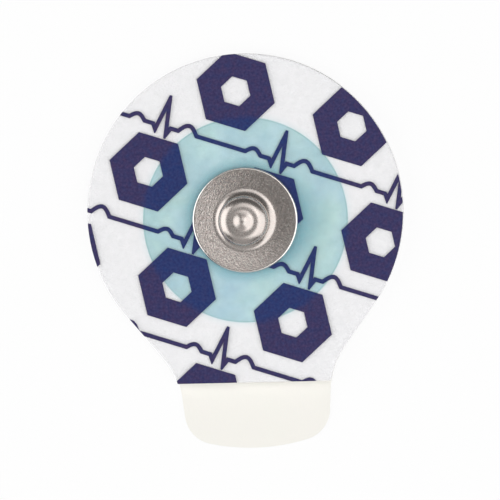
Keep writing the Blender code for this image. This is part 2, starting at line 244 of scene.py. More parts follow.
@dataclass(frozen=True)
class PadOutline:
    """Outline of the foam: round pad, straight flanks, hollow necks and the cut across the tab."""

    pad_radius: float = 12.0 * MM
    centre_y: float = 0.6 * MM
    flank_angle: float = math.radians(38.0)
    neck_radius: float = 6.0 * MM
    cut_y: float = -12.35 * MM
    cut_skew: float = math.radians(-1.7)
    tab_width: float = 11.5 * MM
    tab_taper: float = math.radians(5.0)
    below_cut: float = 2.0 * MM
    spacing: float = 0.16 * MM

    def neck_centre(self) -> Array:
        """Find the centre of the right neck's arc.

        It is where two lines cross: those at the neck's radius outside the flank and the tab's side.

        Returns:
            The centre as (x, y).
        """
        flank_out = np.array([math.cos(self.flank_angle), -math.sin(self.flank_angle)])
        side_out = np.array([math.cos(self.tab_taper), -math.sin(self.tab_taper)])
        flank_reach = flank_out @ (0.0, self.centre_y) + self.pad_radius + self.neck_radius
        side_reach = side_out @ (self.tab_width / 2.0, self.cut_y) + self.neck_radius
        return np.linalg.solve(np.stack([flank_out, side_out]), [flank_reach, side_reach])

    def closed_path(self) -> Array:
        """Even points round the foam, anticlockwise from the right end of the cut across the tab.

        The right half runs up the tab's side, round the neck, along the flank and round the pad,
        the left half is its mirror image, and the slanting cut joins their ends.

        Returns:
            An array of (count, 2) points, none of them twice.
        """
        fine = self.spacing / 4.0
        side_x = self.tab_width / 2.0 - self.below_cut * math.tan(self.tab_taper)
        below = np.array([side_x, self.cut_y - self.below_cut])
        turns = math.pi - self.tab_taper, math.pi - self.flank_angle
        bend = arc_points(tuple(self.neck_centre()), self.neck_radius, *turns, fine)
        pad = arc_points((0.0, self.centre_y), self.pad_radius, -self.flank_angle, math.pi / 2.0, fine)
        right = np.concatenate([bend, pad])
        start, end = (self.on_cut(np.array([below, bend[0]]) * (mirror, 1.0)) for mirror in (1.0, -1.0))
        half = np.concatenate([[start], right[self.over_cut(right) > 0.0]])
        mirrored = half[::-1] * (-1.0, 1.0)
        mirrored = np.concatenate([mirrored[self.over_cut(mirrored) > 0.0], [end]])
        rim = even_path(np.concatenate([half, mirrored[1:]]), self.spacing)
        across = even_path(np.stack([end, start]), self.spacing)
        return np.concatenate([rim[:-1], across[:-1]])

    def over_cut(self, points: Array) -> Array:
        """How far points lie above the slanting cut."""
        return points[:, 1] - self.cut_y - math.tan(self.cut_skew) * points[:, 0]

    def on_cut(self, side: Array) -> Array:
        """Where the line through two points meets the slanting cut."""
        over = self.over_cut(side)
        return side[0] + (side[1] - side[0]) * over[0] / (over[0] - over[1])


# Node trees


class Board:
    """A node tree with short ways to place its nodes and join them."""

    def __init__(self, tree: bpy.types.NodeTree) -> None:
        """Keep the tree that the nodes go into."""
        self.tree = tree

    def feed(self, node: bpy.types.Node, feeds: dict[str | int, Feed]) -> None:
        """Set or join a node's inputs.

        Args:
            node: The node.
            feeds: A number, a vector, a colour or another node's socket, by the input's name or number.
        """
        for name, feed in feeds.items():
            target = node.inputs[name]
            if isinstance(feed, Socket):
                self.tree.links.new(feed, target)
            else:
                target.default_value = (*feed, 1.0) if target.type == "RGBA" else feed

    def add(self, kind: str, feeds: dict[str | int, Feed] | None = None, **settings: object) -> bpy.types.Node:
        """Place a node.

        Args:
            kind: Blender's name of the node.
            feeds: What goes into its inputs, by name or number.
            settings: The node's own settings.

        Returns:
            The new node.
        """
        node = self.tree.nodes.new(kind)
        for name, value in settings.items():
            setattr(node, name, value)
        self.feed(node, feeds or {})
        return node

    def maths(self, operation: str, *feeds: Feed, clamp: bool = False) -> Socket:
        """The result of one sum on numbers."""
        return self.add("ShaderNodeMath", dict(enumerate(feeds)), operation=operation, use_clamp=clamp).outputs[0]

    def vector(self, operation: str, *feeds: Feed) -> Socket:
        """The result of one sum on vectors, as a vector or as the length that it gives."""
        node = self.add("ShaderNodeVectorMath", dict(enumerate(feeds)), operation=operation)
        return node.outputs["Value" if operation == "LENGTH" else "Vector"]

    def scaled(self, vector: Socket, factor: Feed) -> Socket:
        """A vector times a number."""
        return self.add("ShaderNodeVectorMath", {0: vector, "Scale": factor}, operation="SCALE").outputs["Vector"]

    def across(self, point: Socket) -> Socket:
        """How far a point lies from the stud's axis."""
        return self.vector("LENGTH", self.vector("MULTIPLY", point, LEVEL))

    def remap(self, value: Feed, low: float, high: float, to_low: Feed = 0.0, to_high: Feed = 1.0) -> Socket:
        """A number carried from one span to another along a smooth step, and held at its ends."""
        feeds = {"Value": value, "From Min": low, "From Max": high, "To Min": to_low, "To Max": to_high}
        return self.add("ShaderNodeMapRange", feeds, interpolation_type="SMOOTHSTEP").outputs[0]

    def by_mask(self, mask: Feed, off: Feed, on: Feed) -> Socket:
        """One number where a mask is zero and another where it is one."""
        return self.remap(mask, 0.0, 1.0, off, on)

    def weaken(self, mask: Socket, share: float) -> Socket:
        """A mask brought down to a share of itself."""
        return self.maths("MULTIPLY", mask, share)

    def either_side(self, mask: Socket, span: float) -> Socket:
        """A mask turned into a change from half a span below zero to half a span above."""
        return self.maths("MULTIPLY_ADD", mask, span, -span / 2.0)

    def blend(self, share: Feed, first: Feed, second: Feed, mode: str = "MIX") -> Socket:
        """Two colours mixed by a share from zero, the first, to one, the second."""
        feeds = {MIX_SHARE: share, MIX_FIRST: first, MIX_SECOND: second}
        return self.add("ShaderNodeMix", feeds, data_type="RGBA", blend_type=mode).outputs[MIX_RESULT]

    def times(self, tone: Feed, factor: Feed) -> Socket:
        """A colour times another."""
        return self.blend(1.0, tone, factor, "MULTIPLY")


class Effect(Enum):
    """Surface effects that the finishes share, each a shader node group."""

    WITHIN = "within_radius"
    MOTTLE = "mottle"
    TURNING = "turning_marks"
    CELLS = "foam_cells"


def within_radius(board: Board, given: Sockets) -> Socket:
    """One inside a radius about the stud's axis and zero outside, over a soft edge."""
    inside = board.maths("SUBTRACT", given["Radius"], board.across(given["Point"]))
    return board.remap(board.maths("DIVIDE", inside, given["Softness"]), -1.0, 1.0)


def mottle(board: Board, given: Sockets) -> Socket:
    """Soft patches of a size: noise widened about its middle by one over the spread.

    Args:
        board: The group's nodes.
        given: The group's inputs.

    Returns:
        The patches, from zero to one.
    """
    noise = board.add("ShaderNodeTexNoise", {
        "Vector": given["Point"], "Scale": board.maths("DIVIDE", 1.0, given["Size"]),
        "Detail": given["Detail"], "Roughness": NOISE_ROUGHNESS})
    centred = board.maths("SUBTRACT", noise.outputs["Fac"], 0.5)
    widened = board.maths("DIVIDE", centred, given["Spread"])
    return board.maths("MULTIPLY_ADD", widened, 0.5, 0.5, clamp=True)


def turning_marks(board: Board, given: Sockets) -> Socket:
    """Streaks that run round the stud's axis: noise over the radius and the heading.

    Args:
        board: The group's nodes.
        given: The group's inputs.

    Returns:
        The streaks, from zero to one.
    """
    flat = board.vector("MULTIPLY", given["Point"], LEVEL)
    heading = board.scaled(board.vector("NORMALIZE", flat), given["Run"])
    rings = board.maths("DIVIDE", board.vector("LENGTH", flat), given["Pitch"])
    place = board.vector("ADD", heading, board.add("ShaderNodeCombineXYZ", {"Z": rings}).outputs[0])
    return board.add("ShaderNodeTexNoise", {"Vector": place, "Scale": 1.0, "Detail": MARK_DETAIL}).outputs["Fac"]


def foam_cells(board: Board, given: Sockets) -> Socket:
    """Round hollows of closed cells: the distance to the nearest cell's middle."""
    scale = board.maths("DIVIDE", 1.0, given["Size"])
    return board.add("ShaderNodeTexVoronoi", {"Vector": given["Point"], "Scale": scale}).outputs["Distance"]


# Each effect's recipe and its inputs besides Point
RECIPES = {
    Effect.WITHIN: (within_radius, {"Radius": 1.0, "Softness": 0.1}),
    Effect.MOTTLE: (mottle, {"Size": 1.0, "Spread": 0.3, "Detail": 2.0}),
    Effect.TURNING: (turning_marks, {"Pitch": 0.05, "Run": 6.0}),
    Effect.CELLS: (foam_cells, {"Size": 0.15}),
}


@functools.cache
def effect_tree(effect: Effect) -> bpy.types.NodeTree:
    """Build one group from its inputs and its recipe, when it is first asked for.

    Args:
        effect: Which effect.

    Returns:
        The group, with the input Point and others by name, and the one output Value.
    """
    recipe, numbers = RECIPES[effect]
    tree = bpy.data.node_groups.new(effect.value, "ShaderNodeTree")
    tree.interface.new_socket(name="Point", in_out="INPUT", socket_type="NodeSocketVector")
    for name, value in numbers.items():
        socket = tree.interface.new_socket(name=name, in_out="INPUT", socket_type="NodeSocketFloat")
        socket.default_value = value
    tree.interface.new_socket(name="Value", in_out="OUTPUT", socket_type="NodeSocketFloat")
    board = Board(tree)
    given = board.add("NodeGroupInput")
    board.add("NodeGroupOutput", {"Value": recipe(board, given.outputs)})
    return tree


# Finishes, which measure in millimetres except for the depths of their reliefs


@dataclass(frozen=True)
class Disc:
    """A round area about the stud's axis, with a soft edge."""

    radius: float
    softness: float


@dataclass(frozen=True)
class Patches:
    """Soft patches of noise: their size, how gently they change and the noise's detail."""

    size: float
    spread: float
    detail: float = 2.0


class Palette(Board):
    """The nodes of one finish, with its shader and the place on the piece in millimetres."""

    def __init__(self, material: bpy.types.Material) -> None:
        """Find the shader and scale the object's own coordinates.

        Args:
            material: The finish's material.
        """
        super().__init__(material.node_tree)
        self.shader = material.node_tree.nodes["Principled BSDF"]
        self.point = self.scaled(self.add("ShaderNodeTexCoord").outputs["Object"], 1.0 / MM)

    def place(self, effect: Effect, feeds: dict[str, Feed], point: Socket | None = None) -> Socket:
        """A shared effect from zero to one, read at a point or else at the place on the piece."""
        feeds = {"Point": self.point if point is None else point, **feeds}
        return self.add("ShaderNodeGroup", feeds, node_tree=effect_tree(effect)).outputs["Value"]

    def within(self, disc: Disc, point: Socket | None = None) -> Socket:
        """One inside a disc and zero outside."""
        return self.place(Effect.WITHIN, {"Radius": disc.radius, "Softness": disc.softness}, point)

    def mottle(self, patches: Patches, point: Socket | None = None) -> Socket:
        """Soft patches, from zero to one."""
        feeds = {"Size": patches.size, "Spread": patches.spread, "Detail": patches.detail}
        return self.place(Effect.MOTTLE, feeds, point)

    def cells(self, size: float) -> Socket:
        """Hollows of closed cells of a size."""
        return self.place(Effect.CELLS, {"Size": size})

    def relief(self, height: Socket, depth: float, strength: Feed = 1.0, over: Socket | None = None) -> Socket:
        """Normals of a share of a fine relief, whose depth is in metres, over those of another."""
        feeds = {"Height": height, "Distance": depth, "Strength": strength}
        return self.add("ShaderNodeBump", feeds if over is None else {**feeds, "Normal": over}).outputs["Normal"]

    def coat(self, colour: Feed, roughness: Feed, relief: Socket, more: dict[str, Feed] | None = None) -> None:
        """Join the colour, the roughness, the relief's normals and anything more to the shader."""
        feeds = {"Base Color": colour, "Roughness": roughness, "Normal": relief, **(more or {})}
        self.feed(self.shader, feeds)


@dataclass(frozen=True)
class Finish:
    """A finish: a Principled material whose patterns read the object's own millimetres."""

    name: str
    slot: str

    def make(self) -> bpy.types.Material:
        """Build the material.

        Returns:
            The new material.
        """
        made = bpy.data.materials.new(self.name)
        made.use_nodes = True
        self.dress(Palette(made))
        return made

    def dress(self, paint: Palette) -> None:
        """Join the finish's patterns to the shader."""
        raise NotImplementedError


@dataclass(frozen=True)
class StudMetal(Finish):
    """Pressed nickel silver: a satin flange with grain and pits, a glossier rim lightened by a painted highlight,
    and a smoother head.
    """

    name: str = "satin_stud_metal"
    slot: str = "stud"
    warm: Triple = (0.53, 0.462, 0.433)
    cool: Triple = (0.487, 0.46, 0.43)
    # Rim tone: a painted highlight, much lighter than the metal, that whitens the rim's reflections
    rim_highlight: Triple = (0.86, 0.84, 0.81)
    flange_roughness: float = 0.21
    head_roughness: float = 0.27
    rim_roughness: float = 0.14
    pit_roughness: float = 0.10
    head: Disc = Disc(2.45, 0.25)
    body: Disc = Disc(3.89, 0.03)
    patches: Patches = Patches(0.22, 0.25)
    pits: Patches = Patches(0.11, 0.30)
    mark_pitch: float = 0.07
    mark_run: float = 17.0
    mark_share: float = 0.45
    worked_span: Pair = (0.25, 0.75)
    darkest: Pair = (0.78, 0.98)
    lightest: Pair = (1.28, 1.08)
    head_relief: float = 0.05
    pit_depth: float = 0.007 * MM
    grain_depth: float = 0.002 * MM

    def dress(self, paint: Palette) -> None:
        """Tint in patches, shade and pit the flange more than the head, and lighten the rim with a painted
        highlight and less roughness.

        Args:
            paint: The material's nodes.
        """
        head, body, pits = paint.within(self.head), paint.within(self.body), paint.mottle(self.pits)
        marks = paint.place(Effect.TURNING, {"Pitch": self.mark_pitch, "Run": self.mark_run})
        tint = paint.blend(paint.mottle(self.patches), self.warm, self.cool)
        pitted = paint.weaken(pits, 1.0 - self.mark_share)
        worked = paint.maths("MULTIPLY_ADD", marks, self.mark_share, pitted)
        low, high = paint.by_mask(head, *self.darkest), paint.by_mask(head, *self.lightest)
        shade = paint.remap(worked, *self.worked_span, low, high)
        grey = paint.add("ShaderNodeCombineColor", {0: shade, 1: shade, 2: shade}).outputs[0]
        # Outside the body's disc the rim takes the lighter tone, a painted highlight, instead of the grained
        # metal
        tone_with_rim_highlight = paint.blend(body, self.rim_highlight, paint.times(tint, grey))
        rough = paint.by_mask(head, self.flange_roughness, self.head_roughness)
        rough = paint.maths("ADD", rough, paint.either_side(pits, self.pit_roughness))
        rough = paint.by_mask(body, self.rim_roughness, rough)
        calm = paint.by_mask(head, 1.0, self.head_relief)
        relief = paint.relief(pits, self.pit_depth, calm, paint.relief(marks, self.grain_depth, calm))
        paint.coat(tone_with_rim_highlight, rough, relief, {"Metallic": 1.0})


@dataclass(frozen=True)
class FilmSheet(Finish):
    """Thin translucent film: a milky veil over what lies under it, with a satin top."""

    name: str = "milky_film"
    slot: str = "film"
    colour: Triple = (0.92, 0.916, 0.93)
    veil: float = 0.20
    wet_veil: float = 0.12
    veil_change: float = 0.04
    wet: Disc = Disc(7.8, 0.15)
    clouds: Patches = Patches(0.5, 0.3)
    waves: Patches = Patches(2.6, 0.5)
    wave_depth: float = 0.009 * MM
    cell_size: float = 0.22
    cell_depth: float = 0.004 * MM
    roughness: float = 0.40

    def dress(self, paint: Palette) -> None:
        """Clear the veil over the wet gel, and let the foam's cells and slow waves show in the gloss.

        Args:
            paint: The material's nodes.
        """
        veil = paint.by_mask(paint.within(self.wet), self.veil, self.wet_veil)
        alpha = paint.maths("ADD", veil, paint.either_side(paint.mottle(self.clouds), self.veil_change))
        slow = paint.relief(paint.mottle(self.waves), self.wave_depth)
        relief = paint.relief(paint.cells(self.cell_size), self.cell_depth, over=slow)
        paint.coat(self.colour, self.roughness, relief, {"Alpha": alpha})


@dataclass(frozen=True)
class NavyInk(Finish):
    """Printed ink: violet navy over the white foam and bluer where the gel shows through it."""

    name: str = "navy_ink"
    slot: str = "ink"
    over_foam: Triple = (0.036, 0.032, 0.103)
    over_gel: Triple = (0.019, 0.033, 0.129)
    redder: Triple = (1.28, 0.98, 0.93)
    bluer: Triple = (0.76, 1.02, 1.08)
    thicker: Triple = (0.62, 0.66, 0.79)
    thinner: Triple = (1.52, 1.43, 1.27)
    wet: Disc = Disc(7.8, 0.3)
    grain: Patches = Patches(0.19, 0.35, 1.0)
    broad: Patches = Patches(0.4, 0.25)
    grain_depth: float = 0.0015 * MM
    roughness: float = 0.42
    gloss: float = 0.15

    def dress(self, paint: Palette) -> None:
        """Mix the two tones at the gel's edge and grain them like a printed field.

        Args:
            paint: The material's nodes.
        """
        grain = paint.mottle(self.grain)
        tone = paint.blend(paint.within(self.wet), self.over_foam, self.over_gel)
        tone = paint.times(tone, paint.blend(paint.mottle(self.broad), self.redder, self.bluer))
        printed = paint.blend(grain, paint.times(tone, self.thicker), paint.times(tone, self.thinner))
        relief = paint.relief(grain, self.grain_depth)
        paint.coat(printed, self.roughness, relief, {"Specular IOR Level": self.gloss})


@dataclass(frozen=True)
class WetGel(Finish):
    """Pale blue hydrogel: cloudy, wet to the look, darker over the eyelet's flange, with a painted shadow of the
    stud leaning towards +X.
    """

    name: str = "pale_blue_gel"
    slot: str = "gel"
    pale: Triple = (0.455, 0.715, 0.765)
    deep: Triple = (0.275, 0.53, 0.61)
    # Dark teal of the eyelet seen through the gel, also used for the painted shadow of the stud
    eyelet_and_stud_shadow: Triple = (0.015, 0.33, 0.415)
    mint_shift: Triple = (1.01, 1.025, 0.91)
    blue_shift: Triple = (0.98, 0.985, 1.035)
    meniscus: Triple = (0.19, 0.47, 0.47)
    foam: Triple = (0.920, 0.917, 0.925)
    clouds: Patches = Patches(2.2, 0.25, 3.0)
    specks: Patches = Patches(0.25, 0.4)
    shifts: Patches = Patches(3.5, 0.2)
    # Painted shadow of the stud: a disc read at a stretched, shifted point, so it leans towards +X
    stud_shadow_scale: Triple = (1.0, 1.25, 1.0)
    stud_shadow_shift: Triple = (-0.6, 0.2, 0.0)
    stud_shadow: Disc = Disc(4.75, 1.6)
    stud_shadow_share: float = 0.90
    eyelet: Disc = Disc(4.5, 0.5)
    eyelet_share: float = 0.62
    inner: Disc = Disc(7.35, 0.5)
    outer_share: float = 0.3
    line_outside: Disc = Disc(7.79, 0.04)
    line_inside: Disc = Disc(7.69, 0.04)
    line_shares: Pair = (0.45, 0.9)
    glow: Disc = Disc(7.90, 0.45)
    glow_share: float = 0.45
    filled: Disc = Disc(7.80, 0.08)
    lip_roughness: float = 0.7
    wet_roughness: float = 0.14
    speck_depth: float = 0.004 * MM

    def dress(self, paint: Palette) -> None:
        """Cloud the two tones, darken them round the eyelet, paint the stud's shadow as a darker zone pushed
        towards +X, and let the foam show through the thin rim.

        Args:
            paint: The material's nodes.
        """
        leant = paint.vector("MULTIPLY_ADD", paint.point, self.stud_shadow_scale, self.stud_shadow_shift)
        shifts, filled = paint.mottle(self.shifts, leant), paint.within(self.filled)
        tone = paint.blend(paint.mottle(self.clouds), self.deep, self.pale)
        tone = paint.times(tone, paint.blend(shifts, self.blue_shift, self.mint_shift))
        # Painted shadow of the stud: darkens the gel about the axis, further out towards +X
        tone = paint.blend(paint.weaken(paint.within(self.stud_shadow, leant), self.stud_shadow_share), tone, self.eyelet_and_stud_shadow)
        tone = paint.blend(paint.weaken(paint.within(self.eyelet), self.eyelet_share), tone, self.eyelet_and_stud_shadow)
        tone = paint.blend(paint.by_mask(paint.within(self.inner), self.outer_share, 0.0), tone, self.deep)
        line = paint.maths("SUBTRACT", paint.within(self.line_outside), paint.within(self.line_inside))
        line = paint.maths("MULTIPLY", line, paint.by_mask(shifts, *self.line_shares))
        tone = paint.blend(line, tone, self.meniscus)
        rim = paint.blend(paint.weaken(paint.within(self.glow), self.glow_share), self.foam, self.pale)
        rough = paint.by_mask(filled, self.lip_roughness, self.wet_roughness)
        relief = paint.relief(paint.mottle(self.specks), self.speck_depth)
        paint.coat(paint.blend(filled, rim, tone), rough, relief)


@dataclass(frozen=True)
class ClosedCellFoam(Finish):
    """White closed-cell foam with fine round cells."""

    name: str = "white_foam"
    slot: str = "foam"
    colour: Triple = (0.93, 0.926, 0.935)
    hollow: Triple = (0.90, 0.905, 0.915)
    warmer: Triple = (0.92, 0.915, 0.91)
    patches: Patches = Patches(0.8, 0.35)
    patch_share: float = 0.3
    cell_size: float = 0.16
    cell_span: Pair = (0.1, 0.7)
    cell_depth: float = 0.03 * MM
    roughness: float = 0.8

    def dress(self, paint: Palette) -> None:
        """Shade the cells' hollows and raise their walls.

        Args:
            paint: The material's nodes.
        """
        cells = paint.cells(self.cell_size)
        tone = paint.blend(paint.remap(cells, *self.cell_span), self.hollow, self.colour)
        tone = paint.blend(paint.weaken(paint.mottle(self.patches), self.patch_share), tone, self.warmer)
        paint.coat(tone, self.roughness, paint.relief(cells, self.cell_depth))


@dataclass(frozen=True)
class CoatedPlastic(Finish):
    """The eyelet's coated plastic, teal grey where the gel wets it."""

    name: str = "coated_plastic"
    slot: str = "eyelet"
    colour: Triple = (0.22, 0.39, 0.445)
    lighter: Triple = (0.27, 0.45, 0.50)
    patches: Patches = Patches(0.5, 0.3)
    patch_depth: float = 0.004 * MM
    roughness: float = 0.5

    def dress(self, paint: Palette) -> None:
        """Mottle the coating.

        Args:
            paint: The material's nodes.
        """
        patches = paint.mottle(self.patches)
        tone = paint.blend(patches, self.colour, self.lighter)
        paint.coat(tone, self.roughness, paint.relief(patches, self.patch_depth))


@dataclass(frozen=True)
class CreamStrip(Finish):
    """The tab's cream strip with faint fibres along it."""

    name: str = "cream_strip"
    slot: str = "tab"
    colour: Triple = (0.875, 0.864, 0.805)
    warmer: Triple = (0.88, 0.855, 0.808)
    fibre: Triple = (0.835, 0.83, 0.775)
    patches: Patches = Patches(3.0, 0.3)
    fibres: Patches = Patches(0.10, 0.35)
    fibre_scale: Triple = (1.0, 0.22, 1.0)
    fibre_share: float = 0.25
    fibre_depth: float = 0.004 * MM
    roughness: float = 0.55

    def dress(self, paint: Palette) -> None:
        """Stretch a fine mottle into fibres and warm the strip in broad patches.

        Args:
            paint: The material's nodes.
        """
        fibres = paint.mottle(self.fibres, paint.vector("MULTIPLY", paint.point, self.fibre_scale))
        tone = paint.blend(paint.mottle(self.patches), self.colour, self.warmer)
        tone = paint.blend(paint.weaken(fibres, self.fibre_share), tone, self.fibre)
        paint.coat(tone, self.roughness, paint.relief(fibres, self.fibre_depth))


# The electrode's parts


@dataclass
class Part:
    """A sub-assembly that builds its pieces, dresses them and hangs them on the body."""

    finish: Finish

    def carry(self, piece: Piece, replaced: str | None = None) -> Piece:
        """Dress a piece, hang it on the body and let it stand for a node.

        Args:
            piece: The piece.
            replaced: The CAD node it stands for, if it is a new piece.

        Returns:
            The piece.
        """
        material = bpy.data.materials.get(self.finish.name) or self.finish.make()
        piece.data.materials.clear()
        piece.data.materials.append(material)
        if replaced is not None:
            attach(piece, BODY)
            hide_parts(replaced)
        return piece

    def build(self) -> list[Piece]:
        """Build and dress the pieces."""
        raise NotImplementedError


@dataclass
class FoamPad(Part):
    """Die-cut foam whose edges are pressed round, with the gel's hole and the tab's step."""

    finish: Finish = field(default_factory=ClosedCellFoam)
    outline: PadOutline = field(default_factory=PadOutline)
    hole_radius: float = 7.82 * MM
    edge_round: float = 0.13 * MM
    wall_hollow: float = 0.03 * MM
    step_depth: float = 0.17 * MM
    step_reach: float = 2.75 * MM
    step_run: float = 0.08 * MM
    top_rows: int = 14
    bottom_rows: int = 44
    wall_rows: int = 7
    edge_rows: int = 6
    fill: float = 1.0

    def build(self) -> list[Piece]:
        """Carry a wall profile round the outline and round the hole, joined across top and bottom.

        A point is the hole's point plus a share of the way to the outline's point, drawn in by the
        profile's inset, and its height is a share of the way from the underside to the top.  The
        underside rises to the tab's step by a smooth step of the distance past the step's line.

        Returns:
            The foam alone.
        """
        low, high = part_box("foam_pad")
        rim = self.outline.closed_path()
        heading = rim / np.linalg.norm(rim, axis=1, keepdims=True)
        ahead = np.roll(rim, -1, axis=0) - np.roll(rim, 1, axis=0)
        outward = np.stack([ahead[:, 1], -ahead[:, 0]], axis=1)
        outward /= np.linalg.norm(outward, axis=1, keepdims=True)
        share, inset, rise = self.section(high.z - low.z)
        outer = rim[None] - outward[None] * inset[:, None, None]
        inner = heading[None] * (self.hole_radius + inset[:, None, None])
        flat = inner + (outer - inner) * share[:, None, None]
        line = self.outline.cut_y + self.step_reach + math.tan(self.outline.cut_skew) * flat[..., 0]
        fall = np.clip((line - flat[..., 1]) / self.step_run + 0.5, 0.0, 1.0)
        underside = low.z + self.step_depth * fall * fall * (3.0 - 2.0 * fall)
        height = underside + (high.z - underside) * rise[:, None]
        points = np.concatenate([flat, height[..., None]], axis=-1).reshape(-1, 3)
        surface = Surface(points, grid_faces(len(share), len(rim), True), np.empty((0, 3), int))
        pad = self.carry(surface.outwards().piece("foam_cushion"), "foam_pad")
        return [pad]

    def section(self, height: float) -> Array:
        """The closed section round the foam's thickness.

        The edges are quarter rounds, and the walls bow in by a sine of the height.

        Args:
            height: Thickness of the foam.

        Returns:
            Three rows: the share from hole to outline, the inset of the wall and the share of the
            height.  They run up the outer wall, in across the top, down and out again.
        """
        quarter = np.linspace(0.0, math.pi / 2.0, self.edge_rows)
        run = self.edge_round * (1.0 - np.sin(quarter))
        lift = self.edge_round * (1.0 - np.cos(quarter)) / height
        middle = np.linspace(lift[-1], 1.0 - lift[-1], self.wall_rows + 2)[1:-1]
        bow = self.wall_hollow * np.sin(math.pi * (middle - lift[-1]) / (1.0 - 2.0 * lift[-1]))
        wall_inset = np.concatenate([run, bow, run[::-1]])
        wall_rise = np.concatenate([lift, middle, 1.0 - lift[::-1]])
        stretches = (
            (1.0, wall_inset, wall_rise),
            (np.linspace(1.0, 0.0, self.top_rows + 2)[1:-1], self.edge_round, 1.0),
            (0.0, wall_inset, wall_rise[::-1]),
            (np.linspace(0.0, 1.0, self.bottom_rows + 2)[1:-1], self.edge_round, 0.0),
        )
        return np.concatenate([np.stack(np.broadcast_arrays(*stretch)) for stretch in stretches], axis=1)


@dataclass
class GelDisc(Part):
    """Hydrogel poured into the foam's hole, wetting its rim and the eyelet's flange, and faintly wavy below."""

    finish: Finish = field(default_factory=WetGel)
    radius: float = 7.81 * MM
    edge_round: float = 0.06 * MM
    lip_radius: float = 8.35 * MM
    lip_gap: float = 0.003 * MM
    lip_edge: float = 0.01 * MM
    skin: float = 0.012 * MM
    skin_opening: float = 1.45 * MM
    seat_radius: float = 4.55 * MM
    seat_height: float = 0.63 * MM
    spacing: float = 0.12 * MM
    wave_height: float = 0.03 * MM
    wave_length: float = 3.4 * MM
    wave_slants: Pair = (0.3, 0.2)
    cross_share: float = 0.8
    cross_lead: float = 1.0
    rim_fade: float = 2.0 * MM
    middle_fade: float = 0.5 * MM
    skin_margin: float = 0.001 * MM
    sides: int = 200

    def build(self) -> list[Piece]:
        """Turn the disc's profile about the axis, with waves on its skin side.

        Returns:
            The gel alone.
        """
        low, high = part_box("gel_disc")
        under, over = high.z + self.lip_gap, high.z + self.skin
        profile = rounded_profile([
            (0.0, low.z, 0.0),
            (self.radius, low.z, self.edge_round),
            (self.radius, under, 0.0),
            (self.lip_radius, under, 0.0),
            (self.lip_radius, over, 0.0),
            (self.lip_radius - self.lip_edge, over, 0.0),
            (self.skin_opening, over, 0.0),
            (self.skin_opening, under, 0.0),
            (self.seat_radius, under, 0.0),
            (self.seat_radius, self.seat_height, 0.0),
            (0.0, self.seat_height, 0.0),
        ], self.spacing)
        waves = self.waves(profile, low.z)
        profile[0, 1] += self.wave_height / 2.0
        return [self.carry(turned_surface("gel_cushion", profile, self.sides, waves), "gel_disc")]

    def waves(self, profile: Array, low: float) -> Array:
        """Heights that the waves add to the skin side.

        Two slanting sine waves are multiplied and raised to lie from zero to the wave's height.
        They keep to half of it in the middle and die towards the rim.

        Args:
            profile: Points of (radius, height).
            low: Height of the skin side.

        Returns:
            Heights as (profile points, sides).
        """
        angles = np.linspace(0.0, math.tau, self.sides, endpoint=False)
        radius, height = profile[:, :1], profile[:, 1:]
        x, y = radius * np.cos(angles), radius * np.sin(angles)
        turns = math.tau / self.wave_length
        slant, cross_slant = self.wave_slants
        along = np.sin(turns * (x + slant * y))
        crossed = along * np.sin(turns * self.cross_share * (y - cross_slant * x) + self.cross_lead)
        fade = np.clip((self.radius - radius) / self.rim_fade, 0.0, 1.0)
        middle = np.clip(radius / self.middle_fade, 0.0, 1.0)
        skin_side = height < low + self.skin_margin
        return self.wave_height * (0.5 + 0.5 * crossed * middle) * fade * skin_side


